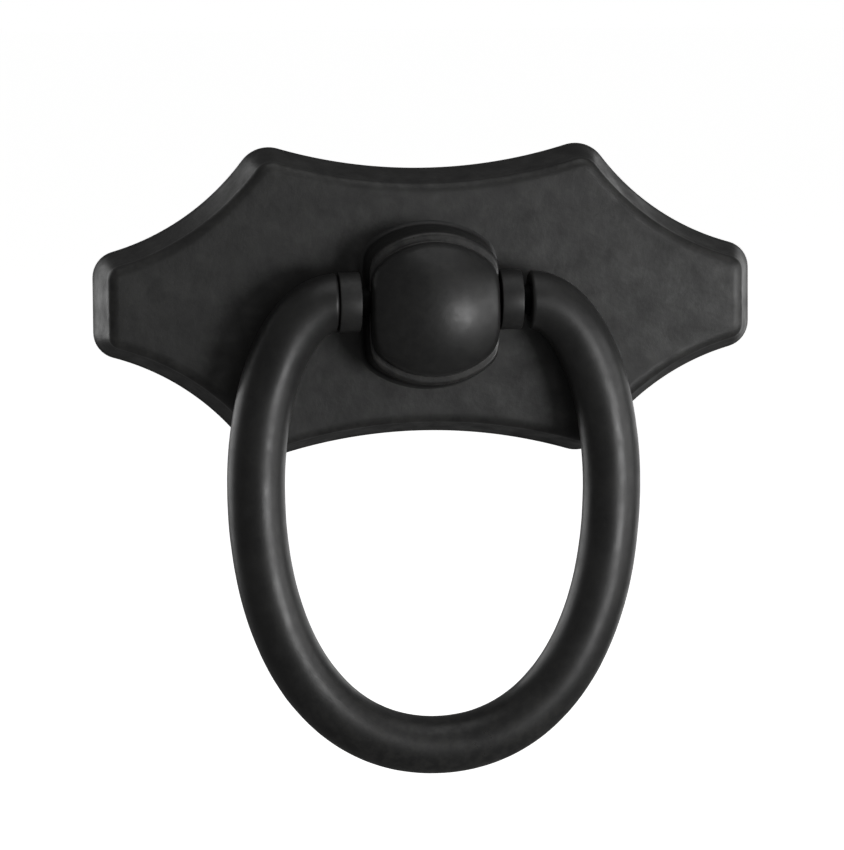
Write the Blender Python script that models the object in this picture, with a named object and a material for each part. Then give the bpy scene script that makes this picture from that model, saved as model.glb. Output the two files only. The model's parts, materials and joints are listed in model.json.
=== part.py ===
"""Ring door knocker in black iron, with its fixings through the door.

X runs to the right along the plate, Z is up, and +Y goes into the door. The origin is the middle of the
plate's back, which lies on the door's face at Y = 0, so everything in front of the door has a negative Y.
"""

import math

import bmesh
import bpy
from mathutils import Vector

MM = 0.001
GAP = 0.3 * MM  # between pieces that touch
RUNNING = 0.1 * MM  # radial clearance round a pin or a thread
OVERRUN = 1.0 * MM  # how far a cutter, or a shape to be joined, runs past the surface it meets
SMOOTH_ANGLE = math.radians(35)  # edges sharper than this stay sharp

# Backplate: the outline is that of its flat face, and the skirt flares out from there to the door.
PLATE_THICKNESS = 7.6 * MM
FACE_HALF_WIDTH = 52.1 * MM
END_HALF_HEIGHT = 5.0 * MM
TIP_X = 26.8 * MM
TIP_Z = 22.5 * MM
TOP_SAGITTA = 4.1 * MM
SIDE_SAGITTA = 2.65 * MM
TIP_FILLET = 1.6 * MM
END_FILLET = 0.5 * MM
TOP_STEPS = 9
TIP_STEPS = 6
SIDE_STEPS = 9
END_STEPS = 5
BEVEL_WIDTH = 1.9 * MM
BEVEL_DEPTH = 1.4 * MM
BEVEL_STEPS = 4
SKIRT_FLARE = 2.1 * MM
RIM_WIDTH = 3.2 * MM
RECESS_DEPTH = 3.8 * MM
RECESS_DRAFT = 0.8 * MM
CENTRE_BOSS_RADIUS = 9.5 * MM
STUD_BOSS_RADIUS = 6.0 * MM

# Post: a round pedestal with a flat on each side, and on it a ball that grows out of a low pillow
POST_FLAT_X = 11.0 * MM
POST_HALF_HEIGHT = 12.9 * MM
POST_ARC_RADIUS = 15.4 * MM  # of the pedestal's upper and lower arcs
POST_DRAFT = 0.6 * MM  # of the arcs
POST_CENTRE_Z = -0.3 * MM
POST_SIDES = 72
FOOT_FILLET = 1.0 * MM
FOOT_START = math.radians(25)  # of the foot's fillet, so that its edge isn't a feather
FOOT_STEPS = 3
PEDESTAL_TOP = 15.8 * MM
PEDESTAL_ROUND = 0.75 * MM
PEDESTAL_INSET = 0.12 * MM  # of the flats, over the shoulder's rounding
PEDESTAL_STEPS = 3
HEAD_INSET = 0.18 * MM  # of the head's flats from the pedestal's
HEAD_HALF_HEIGHT = 11.15 * MM
HEAD_ARC_RADIUS = 14.0 * MM
HEAD_FILLET = 0.4 * MM
HEAD_FILLET_STEPS = 3
HEAD_ROUND = 0.8 * MM
HEAD_ROUND_FROM = 0.93  # of the way from the head's middle to its edge
HEAD_STEPS = 14
BALL_RADIUS = 16.6 * MM
BALL_OUT = 6.2 * MM  # of its middle
CORNER_SHARPNESS = 18  # of the outline's corners: higher is tighter
SPIGOT_HALF_WIDTH = 6.5 * MM
SPIGOT_HALF_HEIGHT = 4.5 * MM
SPIGOT_LENGTH = 3.0 * MM
SPIGOT_CORNER = 1.0 * MM
SPIGOT_OVERLAP = 2.0 * MM  # into the pedestal

# Pivot
PIVOT_OUT = 14.0 * MM
PIVOT_Z = 0.9 * MM
PIN_RADIUS = 2.5 * MM
PIN_CHAMFER = 0.4 * MM
COLLAR_RADIUS = 5.0 * MM
COLLAR_LENGTH = 3.3 * MM
COLLAR_CHAMFER = 0.3 * MM
COLLAR_LEFT_X = -15.9 * MM
COLLAR_RIGHT_X = 11.3 * MM

# Ring: the centreline of one half runs from the end at the pivot to the widest point and on to the bottom.
BAR_RADIUS = 4.85 * MM
RING_END_X = 16.2 * MM
RING_HALF_WIDTH = 30.1 * MM
RING_WIDEST_DROP = 31.0 * MM
RING_BOTTOM_DROP = 75.2 * MM
SHOULDER_HANDLES = (8.0 * MM, 17.0 * MM)
BOTTOM_HANDLES = (26.5 * MM, 18.5 * MM)
RING_END_CHAMFER = 0.6 * MM
RING_SOCKET_DEPTH = 3.6 * MM
SHOULDER_STEPS = 16
BOTTOM_STEPS = 20
BAR_SIDES = 20

# Fixings, for a door 44 mm thick
DOOR_THICKNESS = 44.0 * MM
STUD_X = 34.0 * MM
STUD_RADIUS = 2.5 * MM
STUD_CHAMFER = 0.4 * MM
STUD_SEAT = 5.8 * MM
STUD_BEYOND_WASHER = 7.0 * MM
WASHER_RADIUS = 7.5 * MM
WASHER_THICKNESS = 1.2 * MM
WASHER_CHAMFER = 0.1 * MM
NUT_ACROSS_FLATS = 8.0 * MM
NUT_HEX_HEIGHT = 5.0 * MM
NUT_HEIGHT = 10.0 * MM
NUT_DOME_RADIUS = 3.75 * MM
NUT_BORE_DEPTH = 7.6 * MM
NUT_CORNER_ANGLE = math.radians(30)
NUT_FACE_INSET = 0.1 * MM
NUT_DOME_STEPS = 6
SCREW_RADIUS = 3.0 * MM
SCREW_HEAD_RADIUS = 6.0 * MM
SCREW_HEAD_RIM = 0.4 * MM
SCREW_LENGTH = 10.0 * MM
SCREW_CHAMFER = 0.5 * MM
SCREW_SET_BACK = 0.4 * MM
SOCKET_ACROSS_FLATS = 4.0 * MM
SOCKET_DEPTH = 1.9 * MM

ROUND_SIDES = 48
PIN_SIDES = 32

ALONG_X = (0.0, math.radians(90), 0.0)
INTO_DOOR = (math.radians(-90), 0.0, 0.0)


# Scene and materials


def clear_scene():
    for obj in list(bpy.data.objects):
        bpy.data.objects.remove(obj, do_unlink=True)


def material(name, colour, roughness, metallic):
    mat = bpy.data.materials.new(name)
    mat.use_nodes = True
    shader = mat.node_tree.nodes["Principled BSDF"]
    shader.inputs["Base Color"].default_value = (*colour, 1.0)
    shader.inputs["Roughness"].default_value = roughness
    shader.inputs["Metallic"].default_value = metallic
    mat.diffuse_color = (*colour, 1.0)
    return mat


def empty(name, location):
    obj = bpy.data.objects.new(name, None)
    obj.location = location
    obj.empty_display_size = 10 * MM
    bpy.context.scene.collection.objects.link(obj)
    return obj


def piece(name, mesh, mat, location=(0, 0, 0), rotation=(0, 0, 0), parent=None):
    mesh.shade_smooth()
    mesh.set_sharp_from_angle(angle=SMOOTH_ANGLE)
    mesh.materials.append(mat)
    obj = bpy.data.objects.new(name, mesh)
    obj.location = location
    obj.rotation_euler = rotation
    obj.parent = parent
    bpy.context.scene.collection.objects.link(obj)
    return obj


def helper(name, mesh, location=(0, 0, 0), rotation=(0, 0, 0), parent=None):
    """A solid that only shapes other pieces, and isn't one itself."""
    obj = bpy.data.objects.new(name, mesh)
    obj.location = location
    obj.rotation_euler = rotation
    obj.parent = parent
    obj.hide_render = True
    obj.display_type = "WIRE"
    bpy.context.scene.collection.objects.link(obj)
    return obj


def combine(obj, other, operation):
    modifier = obj.modifiers.new(f"{operation.lower()}_{other.name}", "BOOLEAN")
    modifier.operation = operation
    modifier.object = other
    modifier.solver = "EXACT"


# Shapes


def finished(name, bm):
    bmesh.ops.recalc_face_normals(bm, faces=bm.faces)
    mesh = bpy.data.meshes.new(name)
    bm.to_mesh(mesh)
    bm.free()
    return mesh


def loft(name, loops, closed=False):
    """A solid through loops of equally many points, capped at both ends or, if closed, joined end to start."""
    bm = bmesh.new()
    rings = [[bm.verts.new(point) for point in loop] for loop in loops]
    pairs = list(zip(rings, rings[1:]))
    if closed:
        pairs.append((rings[-1], rings[0]))
    for low, high in pairs:
        for i in range(len(low)):
            j = (i + 1) % len(low)
            bm.faces.new((low[i], low[j], high[j], high[i]))
    if not closed:
        bm.faces.new(rings[0])
        bm.faces.new(rings[-1])
    return finished(name, bm)


def circle(radius, height, sides):
    turn = 2 * math.pi / sides
    return [(radius * math.cos(i * turn), radius * math.sin(i * turn), height) for i in range(sides)]


def turned(name, profile, sides=ROUND_SIDES, closed=False):
    """A solid turned about its local Z from (radius, height) points."""
    return loft(name, [circle(radius, height, sides) for radius, height in profile], closed)


def rod(name, radius, length, chamfer=0.0, sides=ROUND_SIDES):
    """A round bar from Z = 0 to its length."""
    profile = [(radius, 0.0), (radius, length)]
    if chamfer:
        profile = [
            (radius - chamfer, 0.0),
            (radius, chamfer),
            (radius, length - chamfer),
            (radius - chamfer, length),
        ]
    return turned(name, profile, sides)


def tube(name, outer, bore, length, chamfer=0.0, sides=ROUND_SIDES):
    """A round collar from Z = 0 to its length."""
    profile = [(bore, 0.0), (outer, 0.0), (outer, length), (bore, length)]
    if chamfer:
        profile = [
            (bore, 0.0),
            (outer - chamfer, 0.0),
            (outer, chamfer),
            (outer, length - chamfer),
            (outer - chamfer, length),
            (bore, length),
        ]
    return turned(name, profile, sides, closed=True)


def prism(name, outline, low, high):
    """An outline of (x, z) points carried along Y."""
    return loft(name, [[(x, y, z) for x, z in outline] for y in (low, high)])


def hexagon_bar(name, across_flats, low, high):
    corner = across_flats / 2 / math.cos(math.pi / 6)
    return loft(name, [circle(corner, low, 6), circle(corner, high, 6)])


def arc(centre, radius, start, end, steps):
    """Points on an arc, both ends included."""
    points = []
    for i in range(steps + 1):
        angle = start + (end - start) * i / steps
        points.append(Vector((centre[0] + radius * math.cos(angle), centre[1] + radius * math.sin(angle))))
    return points


def direction(start, end):
    return math.atan2(end[1] - start[1], end[0] - start[0])


# Backplate


def arc_crossing(centre_a, radius_a, centre_b, radius_b):
    """Where two circles cross, on the side nearest the X axis."""
    apart = (centre_b - centre_a).length
    along = (radius_a**2 - radius_b**2 + apart**2) / (2 * apart)
    across = math.sqrt(radius_a**2 - along**2)
    unit = (centre_b - centre_a) / apart
    foot = centre_a + unit * along
    normal = Vector((-unit.y, unit.x))
    return min((foot + normal * across, foot - normal * across), key=lambda point: point.y)


def plate_quarter(offset):
    """The face's outline moved out by the offset, from the top middle round to the right end's middle."""
    top_radius = (TIP_X**2 + TOP_SAGITTA**2) / (2 * TOP_SAGITTA)
    top = Vector((0.0, TIP_Z - TOP_SAGITTA + top_radius))
    tip = Vector((TIP_X, TIP_Z))
    end = Vector((FACE_HALF_WIDTH, END_HALF_HEIGHT))
    chord = end - tip
    side_radius = ((chord.length / 2) ** 2 + SIDE_SAGITTA**2) / (2 * SIDE_SAGITTA)
    outward = Vector((-chord.y, chord.x)).normalized()
    side = (tip + end) / 2 + outward * (side_radius - SIDE_SAGITTA)
    tip_round = arc_crossing(top, top_radius + TIP_FILLET, side, side_radius + TIP_FILLET)
    end_x = FACE_HALF_WIDTH - END_FILLET
    reach = side_radius + END_FILLET
    end_round = Vector((end_x, side.y - math.sqrt(reach**2 - (end_x - side.x) ** 2)))
    to_tip = direction(top, tip_round)
    points = arc(top, top_radius - offset, -math.pi / 2, to_tip, TOP_STEPS)
    to_side = direction(tip_round, side)
    points += arc(tip_round, TIP_FILLET + offset, to_tip + math.pi, to_side, TIP_STEPS)[1:]
    from_tip = direction(side, tip_round)
    points += arc(side, side_radius - offset, from_tip, direction(side, end_round), SIDE_STEPS)[1:]
    points += arc(end_round, END_FILLET + offset, direction(end_round, side), 0.0, END_STEPS)[1:]
    return points + [Vector((FACE_HALF_WIDTH + offset, 0.0))]


def plate_outline(offset):
    quarter = plate_quarter(offset)
    right = quarter + [Vector((x, -z)) for x, z in reversed(quarter[:-1])]
    return right + [Vector((-x, z)) for x, z in reversed(right[1:-1])]


def plate_loop(offset, out):
    return [(x, -out, z) for x, z in plate_outline(offset)]


def backplate_mesh():
    """One skin from the recess's floor over the rim and the skirt to the face."""
    skirt = BEVEL_WIDTH + SKIRT_FLARE
    inner = skirt - RIM_WIDTH
    loops = [
        plate_loop(inner - RECESS_DRAFT, RECESS_DEPTH),
        plate_loop(inner, 0.0),
        plate_loop(skirt, 0.0),
    ]
    for i in range(BEVEL_STEPS + 1):
        angle = math.pi / 2 * i / BEVEL_STEPS
        out = PLATE_THICKNESS - BEVEL_DEPTH * (1 - math.sin(angle))
        loops.append(plate_loop(BEVEL_WIDTH * math.cos(angle), out))
    return loft("backplate", loops)


def rounded_box(half_width, half_height, corner, steps=4):
    points = []
    for quadrant, (sx, sz) in enumerate(((1, 1), (-1, 1), (-1, -1), (1, -1))):
        centre = (sx * (half_width - corner), sz * (half_height - corner))
        start = quadrant * math.pi / 2
        points += arc(centre, corner, start, start + math.pi / 2, steps)
    return points


def make_backplate(iron):
    plate = piece("backplate", backplate_mesh(), iron)
    floor = RECESS_DEPTH + OVERRUN
    centre = (0, -floor, POST_CENTRE_Z)
    boss = helper("centre_boss", rod("centre_boss", CENTRE_BOSS_RADIUS, floor), centre, INTO_DOOR)
    combine(plate, boss, "UNION")
    bosses = rod("stud_boss", STUD_BOSS_RADIUS, floor)
    holes = rod("stud_hole", STUD_RADIUS + RUNNING, STUD_SEAT + OVERRUN, sides=PIN_SIDES)
    for side in (-1, 1):
        boss = helper(f"stud_boss_{side}", bosses, (side * STUD_X, -floor, 0), INTO_DOOR)
        combine(plate, boss, "UNION")
    for side in (-1, 1):
        hole = helper(f"stud_hole_{side}", holes, (side * STUD_X, -STUD_SEAT, 0), INTO_DOOR)
        combine(plate, hole, "DIFFERENCE")
    pocket_floor = PLATE_THICKNESS - SPIGOT_LENGTH - GAP
    outline = rounded_box(SPIGOT_HALF_WIDTH + GAP, SPIGOT_HALF_HEIGHT + GAP, SPIGOT_CORNER + GAP)
    pocket = prism("spigot_pocket", outline, -PLATE_THICKNESS - OVERRUN, -pocket_floor)
    combine(plate, helper("spigot_pocket", pocket, (0, 0, POST_CENTRE_Z)), "DIFFERENCE")
    seat = helper("screw_seat", screw_seat_mesh(), (0, 0, POST_CENTRE_Z), INTO_DOOR)
    combine(plate, seat, "DIFFERENCE")


def screw_seat_mesh():
    """The countersunk way for the screw, with its local Z towards the door."""
    head = SCREW_HEAD_RADIUS + GAP
    cone_depth = SCREW_HEAD_RADIUS - SCREW_RADIUS
    rim = -SCREW_SET_BACK - SCREW_HEAD_RIM
    profile = [
        (SCREW_RADIUS + GAP, -PLATE_THICKNESS),
        (SCREW_RADIUS + GAP, rim - cone_depth),
        (head, rim),
        (head, OVERRUN),
    ]
    return turned("screw_seat", profile)


# Post


def post_loop(flat, half_height, arc_radius, out_at, scale=1.0):
    """One level of the post: flats left and right, arcs above and below, and blended corners.

    As the scale falls, towards the head's middle, the loop also turns from that outline into a circle.
    How far out a point lies is a function of its radius.
    """
    round_radius = (flat + half_height) / 2
    drop = arc_radius - half_height
    loop = []
    for i in range(POST_SIDES):
        angle = 2 * math.pi * i / POST_SIDES
        across = abs(math.cos(angle))
        up = abs(math.sin(angle))
        to_flat = across / flat
        to_arc = 1 / (math.sqrt(arc_radius**2 - (drop * across) ** 2) - drop * up)
        blended = (to_flat**CORNER_SHARPNESS + to_arc**CORNER_SHARPNESS) ** (1 / CORNER_SHARPNESS)
        share = scale**2
        radius = scale * (share / blended + (1 - share) * round_radius)
        loop.append((radius * math.cos(angle), -out_at(radius), radius * math.sin(angle)))
    return loop


def head_out(scale, radius):
    """The head's front: a cap of a ball with a rounded edge."""
    edge = max(0.0, (scale - HEAD_ROUND_FROM) / (1 - HEAD_ROUND_FROM))
    cap = BALL_OUT + math.sqrt(BALL_RADIUS**2 - radius**2)
    return cap - HEAD_ROUND * (1 - math.sqrt(1 - edge**2))


def post_mesh():
    """Foot, pedestal, rounded shoulder and domed head, in one skin from the plate outwards."""

    def pedestal_loop(out, flat_inset, arc_inset):
        arcs = (POST_HALF_HEIGHT - arc_inset, POST_ARC_RADIUS - arc_inset)
        return post_loop(POST_FLAT_X - flat_inset, *arcs, lambda _: out)

    def head_loop(out_at, scale=1.0, grown=0.0):
        arcs = (HEAD_HALF_HEIGHT + grown, HEAD_ARC_RADIUS + grown)
        return post_loop(POST_FLAT_X - HEAD_INSET, *arcs, out_at, scale)

    loops = []
    for i in range(FOOT_STEPS + 1):
        angle = FOOT_START + (math.pi / 2 - FOOT_START) * i / FOOT_STEPS
        flare = FOOT_FILLET * (1 - math.sin(angle))
        rise = FOOT_FILLET * (math.cos(FOOT_START) - math.cos(angle))
        loops.append(pedestal_loop(PLATE_THICKNESS + GAP + rise, -flare, -flare - POST_DRAFT))
    for i in range(PEDESTAL_STEPS + 1):
        angle = math.pi / 2 * i / PEDESTAL_STEPS
        turned_in = 1 - math.cos(angle)
        out = PEDESTAL_TOP - PEDESTAL_ROUND * (1 - math.sin(angle))
        loops.append(pedestal_loop(out, PEDESTAL_INSET * turned_in, PEDESTAL_ROUND * turned_in))
    for i in range(HEAD_FILLET_STEPS + 1):
        angle = math.pi / 2 * i / HEAD_FILLET_STEPS
        out = PEDESTAL_TOP + HEAD_FILLET * (1 - math.cos(angle))
        loops.append(head_loop(lambda _, out=out: out, grown=HEAD_FILLET * (1 - math.sin(angle))))
    for i in range(HEAD_STEPS):
        scale = math.cos(math.pi / 2 * i / HEAD_STEPS)
        loops.append(head_loop(lambda radius, scale=scale: head_out(scale, radius), scale))
    return loft("ring_post", loops)


def make_post(iron):
    post = piece("ring_post", post_mesh(), iron, (0, 0, POST_CENTRE_Z))
    outline = rounded_box(SPIGOT_HALF_WIDTH, SPIGOT_HALF_HEIGHT, SPIGOT_CORNER)
    spigot = prism("spigot", outline, -PLATE_THICKNESS - SPIGOT_OVERLAP, -PLATE_THICKNESS + SPIGOT_LENGTH)
    combine(post, helper("spigot", spigot, (0, 0, POST_CENTRE_Z)), "UNION")
    reach = POST_FLAT_X + FOOT_FILLET + OVERRUN
    bore = rod("pin_bore", PIN_RADIUS + RUNNING, 2 * reach, sides=PIN_SIDES)
    combine(post, helper("pin_bore", bore, (-reach, -PIVOT_OUT, PIVOT_Z), ALONG_X), "DIFFERENCE")
    deepest = SCREW_SET_BACK + SCREW_LENGTH + GAP
    thread = rod("screw_hole", SCREW_RADIUS + RUNNING, deepest + OVERRUN, sides=PIN_SIDES)
    combine(post, helper("screw_hole", thread, (0, -deepest, POST_CENTRE_Z), INTO_DOOR), "DIFFERENCE")


# Pivot and ring


def make_pivot(steel, pivot):
    reach = RING_END_X + RING_SOCKET_DEPTH - GAP
    pin = rod("pivot_pin", PIN_RADIUS, 2 * reach, PIN_CHAMFER, PIN_SIDES)
    piece("pivot_pin", pin, steel, (-reach, 0, 0), ALONG_X, pivot)


def make_collars(iron):
    for side, x in (("left", COLLAR_LEFT_X), ("right", COLLAR_RIGHT_X)):
        name = f"pivot_collar_{side}"
        mesh = tube(name, COLLAR_RADIUS, PIN_RADIUS + RUNNING, COLLAR_LENGTH, COLLAR_CHAMFER, PIN_SIDES)
        piece(name, mesh, iron, (x, -PIVOT_OUT, PIVOT_Z), ALONG_X)


def bezier(points, t):
    """A point on a cubic curve and the curve's direction there."""
    a, b, c, d = points
    s = 1 - t
    place = a * s**3 + b * (3 * s * s * t) + c * (3 * s * t * t) + d * t**3
    slope = (b - a) * (s * s) + (c - b) * (2 * s * t) + (d - c) * (t * t)
    return place, slope.normalized()


def ring_half():
    """Points and directions (x, z) down the right-hand half of the ring's centreline."""
    end = Vector((RING_END_X, 0.0))
    widest = Vector((RING_HALF_WIDTH, -RING_WIDEST_DROP))
    bottom = Vector((0.0, -RING_BOTTOM_DROP))
    out, up = SHOULDER_HANDLES
    down, along = BOTTOM_HANDLES
    shoulder = (end, end + Vector((out, 0)), widest + Vector((0, up)), widest)
    lower = (widest, widest - Vector((0, down)), bottom + Vector((along, 0)), bottom)
    stations = [bezier(shoulder, i / SHOULDER_STEPS) for i in range(SHOULDER_STEPS)]
    stations += [bezier(lower, i / BOTTOM_STEPS) for i in range(BOTTOM_STEPS + 1)]
    return stations


def bar_loop(place, heading, radius):
    """A round section of the bar, square to its heading."""
    across = Vector((-heading.y, 0.0, heading.x))
    loop = []
    for i in range(BAR_SIDES):
        angle = 2 * math.pi * i / BAR_SIDES
        centre = Vector((place.x, 0.0, place.y))
        loop.append(centre + across * (radius * math.cos(angle)) + Vector((0, radius * math.sin(angle), 0)))
    return loop


def ring_mesh():
    """Round sections from the right end round the bottom to the left end, with a blind socket in each end."""
    right = ring_half()
    left = [(Vector((-place.x, place.y)), Vector((way.x, -way.y))) for place, way in reversed(right[:-1])]
    stations = right + left
    loops = []
    first, heading = stations[0]
    socket = PIN_RADIUS + RUNNING
    loops.append(bar_loop(first + heading * RING_SOCKET_DEPTH, heading, socket))
    loops.append(bar_loop(first, heading, socket))
    loops.append(bar_loop(first, heading, BAR_RADIUS - RING_END_CHAMFER))
    loops.append(bar_loop(first + heading * RING_END_CHAMFER, heading, BAR_RADIUS))
    for place, heading in stations[1:-1]:
        loops.append(bar_loop(place, heading, BAR_RADIUS))
    last, heading = stations[-1]
    loops.append(bar_loop(last - heading * RING_END_CHAMFER, heading, BAR_RADIUS))
    loops.append(bar_loop(last, heading, BAR_RADIUS - RING_END_CHAMFER))
    loops.append(bar_loop(last, heading, socket))
    loops.append(bar_loop(last - heading * RING_SOCKET_DEPTH, heading, socket))
    return loft("knocker_ring", loops)


# Fixings


def make_post_screw(steel):
    cone = SCREW_HEAD_RADIUS - SCREW_RADIUS
    profile = [
        (SCREW_RADIUS - SCREW_CHAMFER, -SCREW_LENGTH),
        (SCREW_RADIUS, -SCREW_LENGTH + SCREW_CHAMFER),
        (SCREW_RADIUS, -SCREW_HEAD_RIM - cone),
        (SCREW_HEAD_RADIUS, -SCREW_HEAD_RIM),
        (SCREW_HEAD_RADIUS, 0.0),
    ]
    place = (0, -SCREW_SET_BACK, POST_CENTRE_Z)
    screw = piece("post_screw", turned("post_screw", profile), steel, place, INTO_DOOR)
    socket = hexagon_bar("hex_socket", SOCKET_ACROSS_FLATS, -SOCKET_DEPTH, OVERRUN)
    combine(screw, helper("hex_socket", socket, place, INTO_DOOR), "DIFFERENCE")


def make_stud(name, x, zinc):
    low = STUD_SEAT - GAP
    length = low + DOOR_THICKNESS + WASHER_THICKNESS + STUD_BEYOND_WASHER
    mesh = rod(name, STUD_RADIUS, length, STUD_CHAMFER, PIN_SIDES)
    piece(name, mesh, zinc, (x, -low, 0), INTO_DOOR)


def make_washer(name, x, zinc):
    mesh = tube(name, WASHER_RADIUS, STUD_RADIUS + GAP, WASHER_THICKNESS, WASHER_CHAMFER)
    piece(name, mesh, zinc, (x, DOOR_THICKNESS, 0), INTO_DOOR)


def dome_mesh(name):
    """The nut's round cap, from inside the hexagon to its top."""
    spring = NUT_HEIGHT - NUT_DOME_RADIUS
    profile = [(NUT_DOME_RADIUS, NUT_HEX_HEIGHT - OVERRUN)]
    for i in range(NUT_DOME_STEPS):
        angle = math.pi / 2 * i / NUT_DOME_STEPS
        profile.append((NUT_DOME_RADIUS * math.cos(angle), spring + NUT_DOME_RADIUS * math.sin(angle)))
    return turned(name, profile, PIN_SIDES)


def nut_chamfer_mesh(name):
    """The cone that takes the hexagon's corners off at its two faces."""
    corner = NUT_ACROSS_FLATS / 2 / math.cos(math.pi / 6) + RUNNING
    flat = NUT_ACROSS_FLATS / 2 - NUT_FACE_INSET
    drop = (corner - flat) * math.tan(NUT_CORNER_ANGLE)
    profile = [(flat, 0.0), (corner, drop), (corner, NUT_HEX_HEIGHT - drop), (flat, NUT_HEX_HEIGHT)]
    return turned(name, profile)


def make_dome_nut(name, x, steel):
    place = (x, DOOR_THICKNESS + WASHER_THICKNESS + GAP, 0)
    hexagon = hexagon_bar(name, NUT_ACROSS_FLATS, -OVERRUN, NUT_HEX_HEIGHT + OVERRUN)
    nut = piece(name, hexagon, steel, place, INTO_DOOR)
    chamfer = helper(f"{name}_chamfer", nut_chamfer_mesh(f"{name}_chamfer"), place, INTO_DOOR)
    combine(nut, chamfer, "INTERSECT")
    dome = helper(f"{name}_dome", dome_mesh(f"{name}_dome"), place, INTO_DOOR)
    combine(nut, dome, "UNION")
    bore = rod(f"{name}_bore", STUD_RADIUS + RUNNING, NUT_BORE_DEPTH + OVERRUN, sides=PIN_SIDES)
    start = (x, place[1] - OVERRUN, 0)
    combine(nut, helper(f"{name}_bore", bore, start, INTO_DOOR), "DIFFERENCE")


def main():
    clear_scene()
    plate_iron = material("plate_iron", (0.030, 0.030, 0.030), 0.55, 0.2)
    post_iron = material("post_iron", (0.028, 0.028, 0.028), 0.45, 0.2)
    ring_iron = material("ring_iron", (0.026, 0.026, 0.026), 0.45, 0.2)
    collar_iron = material("collar_iron", (0.026, 0.026, 0.026), 0.5, 0.2)
    pin_steel = material("pin_steel", (0.32, 0.31, 0.30), 0.35, 1.0)
    screw_steel = material("screw_steel", (0.03, 0.03, 0.03), 0.4, 0.8)
    zinc_steel = material("zinc_steel", (0.55, 0.56, 0.58), 0.35, 1.0)
    nut_steel = material("nut_steel", (0.035, 0.035, 0.035), 0.4, 0.6)
    pivot = empty("ring_pivot", (0, -PIVOT_OUT, PIVOT_Z))
    make_backplate(plate_iron)
    make_post(post_iron)
    make_collars(collar_iron)
    make_pivot(pin_steel, pivot)
    piece("knocker_ring", ring_mesh(), ring_iron, parent=pivot)
    make_post_screw(screw_steel)
    for side, x in (("left", -STUD_X), ("right", STUD_X)):
        make_stud(f"stud_{side}", x, zinc_steel)
        make_washer(f"washer_{side}", x, zinc_steel)
        make_dome_nut(f"dome_nut_{side}", x, nut_steel)


main()
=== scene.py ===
"""Looks for the ring door knocker: fine meshes, procedural finishes, studio light and camera.

Metres, as in the frame: X runs to the right along the plate, Z is up and +Y goes into the door.
"""

import json
import math

import bmesh
import bpy
from mathutils import Matrix, Vector, noise


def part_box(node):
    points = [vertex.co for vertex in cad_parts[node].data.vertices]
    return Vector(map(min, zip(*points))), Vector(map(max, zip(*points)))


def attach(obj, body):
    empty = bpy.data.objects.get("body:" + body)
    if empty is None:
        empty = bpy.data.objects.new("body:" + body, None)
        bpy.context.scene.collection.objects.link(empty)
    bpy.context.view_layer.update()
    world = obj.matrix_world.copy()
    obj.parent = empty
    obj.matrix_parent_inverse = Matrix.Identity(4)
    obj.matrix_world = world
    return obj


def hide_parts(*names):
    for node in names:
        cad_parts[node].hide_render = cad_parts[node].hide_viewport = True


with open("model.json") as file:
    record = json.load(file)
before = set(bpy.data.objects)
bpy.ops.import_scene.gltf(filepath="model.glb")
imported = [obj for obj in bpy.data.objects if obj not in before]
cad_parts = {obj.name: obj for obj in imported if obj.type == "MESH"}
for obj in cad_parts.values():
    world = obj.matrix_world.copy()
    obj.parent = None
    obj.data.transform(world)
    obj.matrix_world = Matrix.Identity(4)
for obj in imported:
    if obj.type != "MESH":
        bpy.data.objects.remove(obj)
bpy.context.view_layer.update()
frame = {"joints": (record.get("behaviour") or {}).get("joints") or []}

MM = 0.001

# The plate's face outline, as the model has it
TIP_X = 26.8 * MM
TIP_Z = 22.5 * MM
END_HALF_HEIGHT = 5.0 * MM
TOP_SAGITTA = 4.1 * MM
SIDE_SAGITTA = 2.65 * MM
TIP_FILLET = 1.6 * MM
END_FILLET = 0.5 * MM
BEVEL_WIDTH = 1.9 * MM
BEVEL_DEPTH = 1.4 * MM
SKIRT_FLARE = 2.1 * MM
RIM_WIDTH = 3.2 * MM
RIM_EDGE = 0.3 * MM
RECESS_DEPTH = 3.8 * MM
RECESS_DRAFT = 0.8 * MM
RECESS_FILLET = 0.45 * MM
CENTRE_BOSS_RADIUS = 9.5 * MM
STUD_BOSS_RADIUS = 6.0 * MM
BOSS_FILLET = 0.9 * MM
BOSS_EDGE = 0.35 * MM

# Post
POST_FLAT_X = 11.0 * MM
POST_HALF_HEIGHT = 12.9 * MM
POST_ARC_RADIUS = 15.4 * MM
POST_DRAFT = 0.6 * MM
POST_CENTRE_Z = -0.3 * MM
FOOT_FILLET = 1.0 * MM
PEDESTAL_TOP = 15.8 * MM
PEDESTAL_ROUND = 0.75 * MM
PEDESTAL_INSET = 0.12 * MM
HEAD_INSET = 0.18 * MM
HEAD_HALF_HEIGHT = 11.15 * MM
HEAD_ARC_RADIUS = 14.0 * MM
HEAD_FILLET = 0.4 * MM
HEAD_ROUND = 0.8 * MM
HEAD_ROUND_FROM = 0.93  # of the way from the head's middle to its edge
BALL_RADIUS = 16.6 * MM
BALL_OUT = 6.2 * MM  # of its middle
CORNER_SHARPNESS = 18
COLLAR_FILL = 0.18 * MM  # of the model's gap, for the coating on both sides
COLLAR_EDGE = 0.22 * MM
SPIGOT_HALF_WIDTH = 6.5 * MM
SPIGOT_HALF_HEIGHT = 4.5 * MM
SPIGOT_CORNER = 1.0 * MM
SPIGOT_LENGTH = 3.0 * MM

# Ring
RING_HALF_WIDTH = 30.1 * MM
RING_WIDEST_DROP = 31.0 * MM
SHOULDER_HANDLES = (8.0 * MM, 17.0 * MM)
BOTTOM_HANDLES = (26.5 * MM, 18.5 * MM)
RING_END_ROUND = 0.6 * MM
RING_SOCKET_DEPTH = 3.6 * MM

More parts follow.
